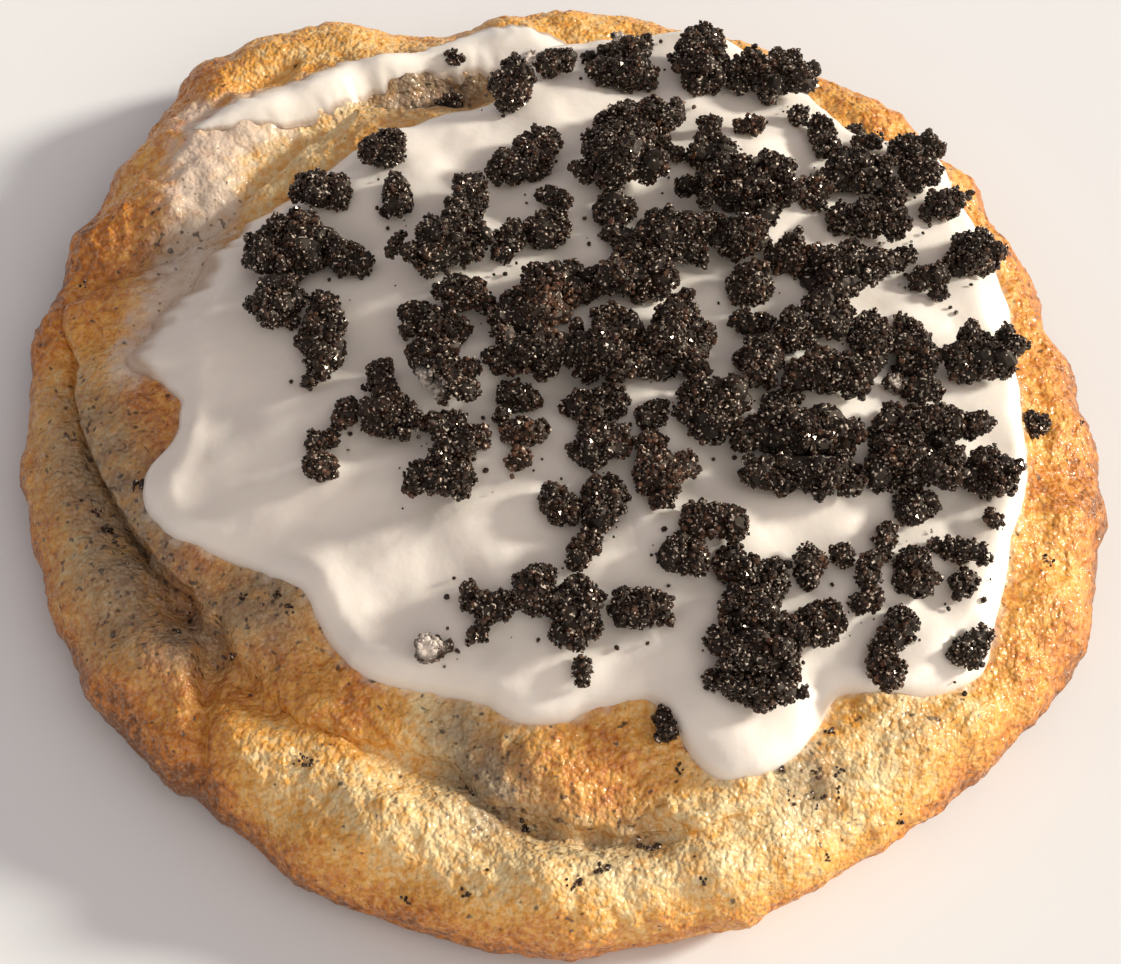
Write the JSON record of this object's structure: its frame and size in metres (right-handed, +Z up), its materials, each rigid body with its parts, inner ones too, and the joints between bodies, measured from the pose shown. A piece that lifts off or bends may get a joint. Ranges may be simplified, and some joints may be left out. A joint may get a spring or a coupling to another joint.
{
  "type": "cookies and cream cookie",
  "caption": "Round baked drop cookie with a rolled, folded rim, a poured coat of icing that drips at the front, and dark chocolate cookie crumbs piled on it.",
  "frame": {"origin": "middle of the footprint's box, on the surface the cookie rests on", "axes": "+Z up through the thickness, -Y towards the side where the icing drips, +X to the right seen from there"},
  "size_m": [0.1065, 0.1108, 0.026],
  "materials": {
    "dough": "baked dough, golden tan with browned edges, dry and finely cragged, glazed where icing has soaked in",
    "icing": "set icing, creamy white with a soft gloss",
    "crumb": "very dark cocoa crumb, rough and granular with small glints"
  },
  "bodies": {
    "root": {"cookie": "dough", "icing": "icing", "crumb_chunk_01": "crumb", "crumb_chunk_02": "crumb", "crumb_chunk_03": "crumb", "crumb_chunk_04": "crumb", "crumb_chunk_05": "crumb", "crumb_chunk_06": "crumb", "crumb_chunk_07": "crumb", "crumb_chunk_08": "crumb", "crumb_chunk_09": "crumb", "crumb_chunk_10": "crumb", "crumb_chunk_11": "crumb", "crumb_chunk_12": "crumb", "crumb_chunk_13": "crumb", "crumb_chunk_14": "crumb", "crumb_chunk_15": "crumb", "crumb_chunk_16": "crumb", "crumb_chunk_17": "crumb", "crumb_chunk_18": "crumb", "crumb_chunk_19": "crumb"}
  },
  "joints": []
}
